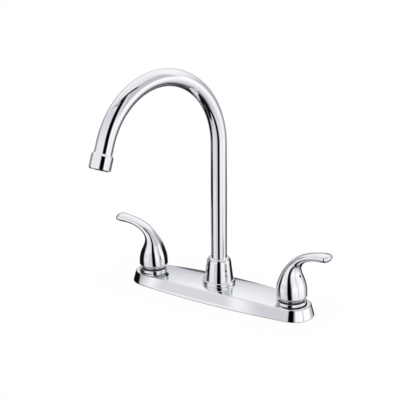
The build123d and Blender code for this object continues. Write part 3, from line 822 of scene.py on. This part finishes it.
def lever_points(settings):
    """Rings from the middle of the hollow, over the foot and the skin, to the lever's tip."""
    bevel_top = lever_low.z + settings.bevel_height
    cavity_top = bevel_top + settings.cavity_height
    foot = lever_low.z + settings.foot_rise
    skin_radius = LEVER_STATIONS[0, 3] * MM
    inside = rounded([
        (0.0, stem_high.z, 0),
        (STEM_BORE, stem_high.z, 0.3 * MM),
        (STEM_BORE, cavity_top, 0.3 * MM),
        (settings.cavity_radius, cavity_top, 1.0 * MM),
        (settings.cavity_radius, foot, 0.2 * MM),
        (settings.foot_radius, foot, 0.3 * MM),
        (skin_radius, bevel_top, 0.35 * MM),
        (skin_radius, bevel_top + 6 * MM, 0),
    ], steps=4)
    # the last corner only gives the bevel's arc its direction
    rings = [ellipse_ring(np.array((0.0, 0.0, height)), 0.0, radius, radius)
             for radius, height in inside[:-1]]
    clear_of_bevel = 0.4
    for reach, rise, lean, half_thickness, half_width in lever_sections(rows=150):
        if rise > clear_of_bevel:
            centre = np.array((reach * MM, 0.0, bevel_top + rise * MM))
            rings.append(ellipse_ring(centre, radians(lean), half_thickness * MM, half_width * MM))
    reach, rise, lean, half_thickness, half_width = LEVER_STATIONS[-1]
    lean = radians(lean)
    end = np.array((reach * MM, 0.0, bevel_top + rise * MM))
    along = np.array((sin(lean), 0.0, cos(lean)))
    dome_steps = 6
    for step in range(1, dome_steps + 1):
        share = step / dome_steps * pi / 2
        rings.append(ellipse_ring(end + along * settings.tip_dome * sin(share), lean,
                                  half_thickness * MM * cos(share), half_width * MM * cos(share)))
    return rings


def paint_undercut_shade(mesh, height):
    """Give the faces that look down below a height the greyer chrome that paints the shade under
    the bevel.
    """
    mesh.materials.append(material_of(undercut_painted_shade_chrome))
    looks_down = -0.3
    for face in mesh.polygons:
        if face.center.z < height and face.normal.z < looks_down:
            face.material_index = 1


class FAUCET_OT_levers(Operator):
    """Add the two lever handles"""

    bl_idname = "faucet.levers"
    bl_label = "Lever Handles"

    def execute(self, context):
        settings = context.scene.faucet_lever
        rings = lever_points(settings)
        faces = grid_faces(len(rings), LEVER_COLUMNS, closed=False)
        screw_height = (screw_low.z + screw_high.z) / 2
        past_skin = 30 * MM
        undercut_top = lever_low.z + settings.bevel_height - 0.3 * MM
        sideways = Matrix.Translation((0, 0, screw_height)) @ Matrix.Rotation(pi / 2, 4, "Y")
        toe_in = Matrix.Rotation(-settings.toe_in, 4, "Z")
        for name, body, side in SIDES:
            chrome = material_of(polished_chrome_plating)
            lever = new_piece(name + "_lever_skin", np.vstack(rings), faces, chrome)
            hole = rod(settings.key_hole, 0.0, past_skin, segments=64)
            hole.data.transform(sideways)
            cut(lever, [hole])
            # painted shade: the faces that look down under the bevel get the greyer chrome
            paint_undercut_shade(lever.data, undercut_top)
            lever.data.transform(Matrix.Translation((handle_x, 0, 0)) @ toe_in)
            if side < 0:
                lever.data.transform(Matrix.Scale(-1, 4, (1, 0, 0)))
                lever.data.flip_normals()
            fit(lever, body, name + "_lever")
        return {"FINISHED"}


# ---- gooseneck ----

def spout_frame(settings, run):
    """Matrix at a run along the spout's middle line, with Z along it. The bend starts at 0."""
    bend_length = settings.bend_radius * settings.bend_sweep
    turn = min(max(run / settings.bend_radius, 0.0), settings.bend_sweep)
    reach = settings.bend_radius * (1 - cos(turn))
    height = settings.straight_top + settings.bend_radius * sin(turn)
    beyond = min(run, 0.0) + max(run - bend_length, 0.0)
    outward = Vector((cos(settings.aim), sin(settings.aim), 0))
    along = outward * sin(turn) + Vector((0, 0, cos(turn)))
    centre = outward * reach + Vector((0, 0, height)) + along * beyond
    sideways = Vector((-outward.y, outward.x, 0))
    third = along.cross(sideways)
    matrix = Matrix((sideways, third, along)).transposed().to_4x4()
    return Matrix.Translation(centre) @ matrix


class FAUCET_OT_gooseneck(Operator):
    """Add the bent spout tube"""

    bl_idname = "faucet.gooseneck"
    bl_label = "Gooseneck"

    def execute(self, context):
        settings = context.scene.faucet_spout
        columns = 160
        bend_length = settings.bend_radius * settings.bend_sweep
        foot = washer_low.z - settings.straight_top
        tip = settings.tip_run + TIP_THREAD
        foot_steps, bend_steps, tip_steps = 10, 180, 4
        runs = [foot * (1 - step / foot_steps) for step in range(foot_steps)]
        runs += [bend_length * step / bend_steps for step in range(bend_steps + 1)]
        runs += [bend_length + tip * step / tip_steps for step in range(1, tip_steps + 1)]
        inner_radius = settings.tube_radius - settings.tube_wall
        points = []
        for radius, order in ((settings.tube_radius, runs), (inner_radius, runs[::-1])):
            for run in order:
                points += moved(circle(radius, 0, columns), spout_frame(settings, run))
        faces = grid_faces(2 * len(runs), columns, closed=True)
        chrome = material_of(polished_chrome_plating)
        tube = new_piece("gooseneck_tube", points, faces, chrome)
        fit(tube, "spout", "spout_tube")
        return {"FINISHED"}


# ---- aerator ----

class FAUCET_OT_aerator(Operator):
    """Add the aerator on the spout's tip"""

    bl_idname = "faucet.aerator"
    bl_label = "Aerator"

    def execute(self, context):
        settings = context.scene.faucet_spout
        outlet = settings.aerator_length
        radius = settings.aerator_radius
        slope = settings.aerator_slope
        on_tube = settings.tube_radius + 0.05 * MM
        bore = settings.tube_radius + 0.5 * MM
        lip = bore - settings.aerator_lip
        lip_top = outlet - settings.lip_thickness
        outline = rounded([
            (on_tube, 0.0, 0),
            (settings.tube_radius + 0.4 * MM, 0.0, 0.15 * MM),
            (radius, settings.aerator_flare, 0.5 * MM),
            (radius, outlet - slope, 0.4 * MM),
            (radius - slope, outlet, 0.3 * MM),
            (lip, outlet, 0.15 * MM),
            (lip, lip_top, 0),
            (bore, lip_top, 0),
            (bore, TIP_THREAD, 0),
            (on_tube, TIP_THREAD, 0),
        ])
        points, faces = turned(outline)
        bend_length = settings.bend_radius * settings.bend_sweep
        points = moved(points, spout_frame(settings, bend_length + settings.tip_run))
        chrome = material_of(polished_chrome_plating)
        housing = new_piece("aerator_shell", points, faces, chrome)
        fit(housing, "spout", "aerator_housing")
        return {"FINISHED"}


# ---- bell and its foot ring ----

class FAUCET_OT_bell(Operator):
    """Add the bell nut at the foot of the spout and the ring that it stands on"""

    bl_idname = "faucet.bell"
    bl_label = "Bell and Foot Ring"

    def execute(self, context):
        chrome = material_of(polished_chrome_plating)
        settings = context.scene.faucet_bell
        tube_radius = context.scene.faucet_spout.tube_radius
        base, ring_top = foot_ring_low.z, foot_ring_high.z
        bore = HUB_HOLE - COVER_TIGHTER
        foot_radius = (bell_high.x - bell_low.x) / 2
        ring_radius = (foot_ring_high.x - foot_ring_low.x) / 2
        foot = (ring_radius - 1.0 * MM, base)
        edge = (ring_radius, base + 0.45 * (ring_top - base))
        shoulder = (foot_radius + 1.2 * MM, ring_top - 0.45 * MM)
        outline = [(bore, base), foot]
        outline += tangent_arc(foot, edge, (1, 0.6), steps=8)
        outline += tangent_arc(edge, shoulder, (-0.15, 1), steps=16)
        outline += [(foot_radius, ring_top), (bore, ring_top)]
        points, faces = turned(outline)
        ring = new_piece("foot_ring_cover", points, faces, chrome)
        fit(ring, "base", "spout_flange_ring")

        shoulder = (settings.shoulder_radius, ring_top + settings.shoulder_height)
        crest = (tube_radius + settings.crest_gap, ring_top + settings.crest_height)
        lip = tube_radius + 0.05 * MM
        cavity = settings.cavity_radius
        outline = rounded([
            (bore, bell_low.z, 0),
            (foot_radius, bell_low.z, 0.25 * MM),
            (*shoulder, 0),
        ], steps=4)
        outline += tangent_arc(shoulder, crest, (-0.05, 1), steps=16)
        outline += [(lip, bell_high.z), (lip, washer_high.z), (cavity, washer_high.z)]
        outline += [(cavity, hub_high.z), (bore, hub_high.z)]
        points, faces = turned(outline)
        bell = new_piece("bell_shell", points, faces, chrome)
        fit(bell, "base", "bell_nut")
        return {"FINISHED"}


# ---- stage ----

# The chrome shows a white tent with dark gaps. Each card stands upright, seen from the
# spout's foot: name, where it starts and ends (metres to the camera's right, metres towards
# the camera), its lower and upper edge, how far its ends and its top and bottom fade, and
# its colour.
DARK_CARDS = (
    ("gap_in_front", (-0.126, 0.405), (0.072, 0.405), -0.50, 0.90, 0.016, 0.04, "#050506"),
    ("gap_penumbra", (-0.158, 0.415), (0.118, 0.415), -0.45, 0.95, 0.028, 0.06, "#A6A6AA"),
    ("shade_beside_gap", (-0.420, 0.418), (-0.120, 0.418), -0.50, 0.13, 0.08, 0.05, "#D6D6DB"),
    ("seam_above_front", (-0.26, 0.330), (0.34, 0.330), 0.72, 0.98, 0.09, 0.03, "#262629"),
    ("frame_left", (-1.239, -0.452), (-0.090, 0.512), 0.79, 0.85, 0.03, 0.012, "#A0A0A5"),
    ("frame_right", (0.154, 0.425), (1.064, 0.0), 0.86, 0.93, 0.03, 0.012, "#96969B"),
    ("scrim_right", (0.270, 0.500), (0.860, 0.0), 0.38, 1.10, 0.10, 0.08, "#C6C6CC"),
    ("low_screen_left", (-0.800, 0.160), (-0.660, 0.490), -0.07, 0.07, 0.03, 0.012, "#DFDFE3"),
    ("dark_room_left", (-0.430, -0.004), (-0.205, -0.245), -1.40, 0.13, 0.022, 0.07, "#101013"),
    ("dark_corner_left", (-0.620, 0.050), (-0.600, -0.100), -1.40, -0.17, 0.03, 0.05, "#161618"),
    ("dim_room_left", (-0.455, 0.026), (-0.180, -0.290), -1.40, 0.34, 0.05, 0.11, "#98989E"),
    ("dim_room_back", (-0.150, -0.340), (-0.030, -0.440), -1.40, 0.06, 0.02, 0.03, "#303035"),
    ("rail_behind", (-0.300, -1.200), (0.300, -1.200), 0.14, 0.295, 0.05, 0.016, "#66666C"),
    ("dark_room_right", (0.322, -0.130), (0.175, -0.310), -1.40, 0.12, 0.018, 0.07, "#141417"),
    ("dark_corner_right", (0.200, -0.290), (0.105, -0.400), -1.40, 0.055, 0.020, 0.03, "#18181B"),
    ("dim_room_right", (0.350, -0.110), (0.180, -0.325), -1.40, 0.34, 0.03, 0.11, "#A8A8AD"),
    ("seam_right", (0.560, 0.500), (0.610, 0.440), -0.60, 0.60, 0.020, 0.05, "#D2D2D6"),
)

# height of a ray's direction (sine of its elevation) and what hangs there, in front of the
# faucet and behind it
FRONT_SHADES = (
    (-1.0, "#5A5A5E"),
    (-0.88, "#85858A"),
    (-0.74, "#CBCBCF"),
    (-0.53, "#DFDFE2"),
    (-0.28, "#F2F2F4"),
    (0.0, "#FFFFFF"),
    (0.28, "#F4F4F6"),
    (0.53, "#E8E8EB"),
    (0.74, "#DCDCE0"),
    (0.9, "#E4E4E8"),
    (1.0, "#EEEEF1"),
)
BACK_SHADES = (
    (-1.0, "#3A3A3E"),
    (-0.88, "#404045"),
    (-0.74, "#5C5C62"),
    (-0.53, "#8C8C92"),
    (-0.28, "#BEBEC3"),
    (0.0, "#CACACF"),
    (0.22, "#C4C4C9"),
    (0.28, "#D1D1D5"),
    (0.34, "#DEDEE1"),
    (0.45, "#E9E9EB"),
    (0.55, "#F6F6F8"),
    (0.74, "#FAFAFB"),
    (1.0, "#EEEEF1"),
)


def studio_axes(settings):
    """Level directions to the camera's right and towards the camera."""
    turn = settings.camera_turn
    return Vector((cos(turn), sin(turn), 0)), Vector((sin(turn), -cos(turn), 0))


def studio_world(settings):
    """White light all round. Chrome shows the tent's walls, a little greyer above and below."""
    world = bpy.data.worlds.new("white_tent")
    bpy.context.scene.world = world
    world.use_nodes = True
    tree = world.node_tree
    tree.nodes.clear()
    direction = add_node(tree, "TexCoord").outputs["Generated"]
    parts = add_node(tree, "SeparateXYZ", {"Vector": direction})
    height = add_node(tree, "MapRange", {
        "Value": parts.outputs["Z"], "From Min": -1.0, "From Max": 1.0})
    walls = []
    for shades in (BACK_SHADES, FRONT_SHADES):
        ramp = add_node(tree, "ValToRGB", {"Fac": height})
        set_stops(ramp.color_ramp, [((sine + 1) / 2, shade) for sine, shade in shades])
        walls.append(ramp)
    right, forward = studio_axes(settings)
    # the back wall gives way to the front one a little behind the faucet
    ahead = add_node(tree, "VectorMath", {0: direction, 1: forward}, operation="DOT_PRODUCT")
    in_front = add_node(tree, "MapRange", {
        "Value": ahead.outputs["Value"], "From Min": -0.34, "From Max": -0.06},
        interpolation_type="SMOOTHSTEP")
    wall = add_node(tree, "Mix", {0: in_front, 6: walls[0], 7: walls[1]}, data_type="RGBA")
    # the softbox on the right is a little brighter than the one on the left
    sideways = add_node(tree, "VectorMath", {0: direction, 1: right}, operation="DOT_PRODUCT")
    balance = add_node(tree, "MapRange", {
        "Value": sideways.outputs["Value"], "From Min": -1.0, "From Max": 1.0,
        "To Min": 0.96, "To Max": 1.1})
    tent = add_node(tree, "VectorMath", {0: wall.outputs[2], "Scale": balance}, operation="SCALE")
    in_chrome = add_node(tree, "LightPath").outputs["Is Glossy Ray"]
    shown = add_node(tree, "Mix", {0: in_chrome, 6: (1, 1, 1, 1), 7: tent}, data_type="RGBA")
    light = add_node(tree, "Background", {"Color": shown.outputs[2], "Strength": 1.0})
    add_node(tree, "OutputWorld", {"Surface": light})


def dark_cloth(name, shade, fades):
    """Dark cloth that lets the light through towards its edges, across X and Y or all round."""
    material, tree = new_material(name)
    place = add_node(tree, "TexCoord").outputs["Object"]
    parts = add_node(tree, "SeparateXYZ", {"Vector": place})
    covered = 1.0
    for way, reach, fade in fades:
        if way == "round":
            away = add_node(tree, "VectorMath", {0: place}, operation="LENGTH").outputs["Value"]
        else:
            away = add_node(tree, "Math", {0: parts.outputs[way]}, operation="ABSOLUTE")
        cover = add_node(tree, "MapRange", {
            "Value": away, "From Min": reach - fade, "From Max": reach,
            "To Min": 1.0, "To Max": 0.0}, interpolation_type="SMOOTHSTEP")
        covered = add_node(tree, "Math", {0: cover, 1: covered}, operation="MULTIPLY")
    clear = add_node(tree, "BsdfTransparent")
    cloth = add_node(tree, "Emission", {"Color": linear(shade), "Strength": 1.0})
    surface = add_node(tree, "MixShader", {0: covered, 1: clear, 2: cloth})
    add_node(tree, "OutputMaterial", {"Surface": surface})
    return material


def seen_only_in_chrome(card):
    """Stage piece that neither the camera nor the light meets."""
    card.visible_camera = False
    card.visible_diffuse = False
    card.visible_shadow = False


def hang_card(settings, name, start, end, low, high, end_fade, edge_fade, shade):
    """Upright dark card between two places."""
    right, forward = studio_axes(settings)
    first = right * start[0] + forward * start[1]
    last = right * end[0] + forward * end[1]
    half_width = (last - first).length / 2 + end_fade
    half_height = (high - low) / 2 + edge_fade
    along = (last - first).normalized()
    up = Vector((0, 0, 1))
    fades = (("X", half_width, 2 * end_fade), ("Y", half_height, 2 * edge_fade))
    card = flat_panel(name, half_width, half_height, dark_cloth(name, shade, fades))
    turn = Matrix((along, up, along.cross(up))).transposed().to_4x4()
    card.matrix_world = Matrix.Translation((first + last) / 2 + up * (low + high) / 2) @ turn
    seen_only_in_chrome(card)


def lay_dark_floor(settings):
    """Dark floor of the room, far below the table, seen in what faces down."""
    right, forward = studio_axes(settings)
    name = "dark_room_floor"
    radius, fade, depth = 0.92, 0.30, 1.0
    cloth = dark_cloth(name, "#18181B", [("round", radius, fade)])
    floor = flat_panel(name, radius, radius, cloth)
    floor.location = right * -0.30 + forward * 0.10 + Vector((0, 0, -depth))
    seen_only_in_chrome(floor)


def matt_white_table(settings):
    """Matt white table top. The camera sees it almost as white as the background."""
    material, tree = new_material("matt_white_table")
    in_view = add_node(tree, "LightPath").outputs["Is Camera Ray"]
    # what share of the background's white the camera sees in place of the lit top
    seen = add_node(tree, "Math", {0: in_view, 1: 0.92}, operation="MULTIPLY")
    matt = add_node(tree, "BsdfDiffuse", {"Color": linear(settings.floor_colour), "Roughness": 0.5})
    white = add_node(tree, "Emission", {"Color": (1, 1, 1, 1), "Strength": 1.0})
    surface = add_node(tree, "MixShader", {0: seen, 1: matt, 2: white})
    add_node(tree, "OutputMaterial", {"Surface": surface})
    return material


def add_camera(settings):
    """Camera at the photograph's viewing angle."""
    camera_data = bpy.data.cameras.new("photo_camera")
    camera_data.sensor_width = 36.0
    camera_data.lens = settings.lens
    camera_data.clip_end = 50.0
    camera = bpy.data.objects.new("photo_camera", camera_data)
    bpy.context.scene.collection.objects.link(camera)
    right, forward = studio_axes(settings)
    rise = settings.camera_rise
    back = forward * cos(rise) + Vector((0, 0, sin(rise)))
    rotation = Matrix((right, back.cross(right), back)).transposed()
    rotation = rotation @ Matrix.Rotation(settings.camera_roll, 3, "Z")
    camera.rotation_mode = "QUATERNION"
    camera.location = Vector(settings.camera_target) + back * settings.camera_distance
    camera.rotation_quaternion = rotation.to_quaternion()
    bpy.context.scene.camera = camera


class FAUCET_OT_stage(Operator):
    """Add the table, the tent of light and the camera"""

    bl_idname = "faucet.stage"
    bl_label = "Studio"

    def execute(self, context):
        settings = context.scene.faucet_studio
        half_side = 6.0
        table = matt_white_table(settings)
        floor = flat_panel("studio_floor", half_side, half_side, table)
        floor.visible_glossy = False
        studio_world(settings)
        for card in DARK_CARDS:
            hang_card(settings, *card)
        lay_dark_floor(settings)
        add_camera(settings)
        context.scene.view_settings.view_transform = "Standard"
        return {"FINISHED"}


# ---- sidebar and registration ----

BUILD_ORDER = (
    FAUCET_OT_deck_plate,
    FAUCET_OT_bonnet_rings,
    FAUCET_OT_levers,
    FAUCET_OT_gooseneck,
    FAUCET_OT_aerator,
    FAUCET_OT_bell,
    FAUCET_OT_inside,
    FAUCET_OT_stage,
)


class FAUCET_PT_pieces(Panel):
    """Sidebar panel with the settings and the pieces"""

    bl_label = "Kitchen Faucet"
    bl_idname = "FAUCET_PT_pieces"
    bl_space_type = "VIEW_3D"
    bl_region_type = "UI"
    bl_category = "Faucet"

    def draw(self, context):
        layout = self.layout
        layout.use_property_split = True
        for name in SCENE_SETTINGS:
            settings = getattr(context.scene, name)
            box = layout.box()
            for key in settings.__annotations__:
                box.prop(settings, key)
        for operator in BUILD_ORDER:
            layout.operator(operator.bl_idname)


SCENE_SETTINGS = {
    "faucet_plate": PlateSettings,
    "faucet_ring": RingSettings,
    "faucet_lever": LeverSettings,
    "faucet_spout": SpoutSettings,
    "faucet_bell": BellSettings,
    "faucet_finish": FinishSettings,
    "faucet_studio": StudioSettings,
}

CLASSES = (*SCENE_SETTINGS.values(), *BUILD_ORDER, FAUCET_PT_pieces)


def register():
    for cls in CLASSES:
        bpy.utils.register_class(cls)
    for name, cls in SCENE_SETTINGS.items():
        setattr(bpy.types.Scene, name, PointerProperty(type=cls))


def unregister():
    for name in SCENE_SETTINGS:
        delattr(bpy.types.Scene, name)
    for cls in reversed(CLASSES):
        bpy.utils.unregister_class(cls)


def main():
    """Build every piece in order."""
    register()
    bpy.ops.faucet.deck_plate()
    bpy.ops.faucet.bonnet_rings()
    bpy.ops.faucet.levers()
    bpy.ops.faucet.gooseneck()
    bpy.ops.faucet.aerator()
    bpy.ops.faucet.bell()
    bpy.ops.faucet.inside()
    bpy.ops.faucet.stage()


if __name__ == "__main__":
    main()
